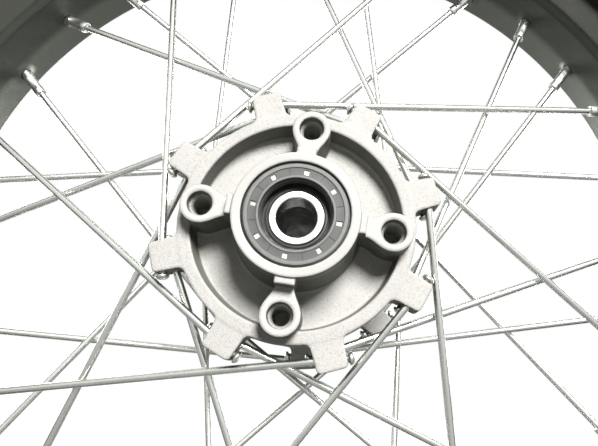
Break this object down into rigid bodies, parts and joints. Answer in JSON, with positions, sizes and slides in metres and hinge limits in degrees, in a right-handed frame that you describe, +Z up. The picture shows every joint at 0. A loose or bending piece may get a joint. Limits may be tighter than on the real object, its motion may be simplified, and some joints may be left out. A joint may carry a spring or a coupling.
{
  "type": "spoked motorcycle front wheel",
  "caption": "Bare laced wheel of a small off-road motorcycle: cast hub with bosses for a brake disc, wire spokes with nipples, drop-centre rim, sealed ball bearings and oil seals.",
  "frame": {"origin": "the wheel's centre: the axle's axis where it crosses the rim's middle plane", "axes": "+Y along the axle, away from the brake-disc side; +Z up; +X to the right seen from the disc side"},
  "size_m": [0.3816, 0.087, 0.3816],
  "materials": {
    "cast_hub": "fine sand-cast, matt",
    "painted_rim": "satin",
    "plated_spokes": "zinc plated, bright",
    "race_steel": "ground",
    "cage_steel": "pressed, oiled",
    "tube_steel": "drawn",
    "seal_rubber": "moulded",
    "shield_rubber": "moulded"
  },
  "bodies": {
    "axle_group": {"disc_side_bearing_inner_race": "race_steel", "far_side_bearing_inner_race": "race_steel", "axle_spacer_tube": "tube_steel"},
    "wheel": {"hub_shell": "cast_hub", "rim": "painted_rim", "spoke_disc_side_1a": "plated_spokes", "spoke_disc_side_1b": "plated_spokes", "spoke_disc_side_2a": "plated_spokes", "spoke_disc_side_2b": "plated_spokes", "spoke_disc_side_3a": "plated_spokes", "spoke_disc_side_3b": "plated_spokes", "spoke_disc_side_4a": "plated_spokes", "spoke_disc_side_4b": "plated_spokes", "spoke_disc_side_5a": "plated_spokes", "spoke_disc_side_5b": "plated_spokes", "spoke_disc_side_6a": "plated_spokes", "spoke_disc_side_6b": "plated_spokes", "spoke_disc_side_7a": "plated_spokes", "spoke_disc_side_7b": "plated_spokes", "spoke_disc_side_8a": "plated_spokes", "spoke_disc_side_8b": "plated_spokes", "spoke_far_side_1a": "plated_spokes", "spoke_far_side_1b": "plated_spokes", "spoke_far_side_2a": "plated_spokes", "spoke_far_side_2b": "plated_spokes", "spoke_far_side_3a": "plated_spokes", "spoke_far_side_3b": "plated_spokes", "spoke_far_side_4a": "plated_spokes", "spoke_far_side_4b": "plated_spokes", "spoke_far_side_5a": "plated_spokes", "spoke_far_side_5b": "plated_spokes", "spoke_far_side_6a": "plated_spokes", "spoke_far_side_6b": "plated_spokes", "spoke_far_side_7a": "plated_spokes", "spoke_far_side_7b": "plated_spokes", "spoke_far_side_8a": "plated_spokes", "spoke_far_side_8b": "plated_spokes", "disc_side_bearing_outer_race": "race_steel", "disc_side_bearing_outer_shield": "shield_rubber", "disc_side_bearing_inner_shield": "shield_rubber", "disc_side_oil_seal": "seal_rubber", "disc_side_seal_garter_spring": "cage_steel", "far_side_bearing_outer_race": "race_steel", "far_side_bearing_outer_shield": "shield_rubber", "far_side_bearing_inner_shield": "shield_rubber", "far_side_oil_seal": "seal_rubber", "far_side_seal_garter_spring": "cage_steel"},
    "disc_side_cage": {"disc_side_bearing_ball_cage": "cage_steel"},
    "far_side_cage": {"far_side_bearing_ball_cage": "cage_steel"}
  },
  "joints": [
    {"name": "wheel_spin", "type": "hinge", "parent": "axle_group", "child": "wheel", "pos_m": [0, 0, 0], "axis": [0, 1, 0], "continuous": true},
    {"name": "disc_side_cage_spin", "type": "hinge", "parent": "axle_group", "child": "disc_side_cage", "pos_m": [0, -0.037, 0], "axis": [0, 1, 0], "continuous": true},
    {"name": "far_side_cage_spin", "type": "hinge", "parent": "axle_group", "child": "far_side_cage", "pos_m": [0, 0.027, 0], "axis": [0, 1, 0], "continuous": true}
  ],
  "couplings": [
    {"joint": "disc_side_cage_spin", "follows": "wheel_spin", "ratio": 0.6151},
    {"joint": "far_side_cage_spin", "follows": "wheel_spin", "ratio": 0.6151}
  ]
}
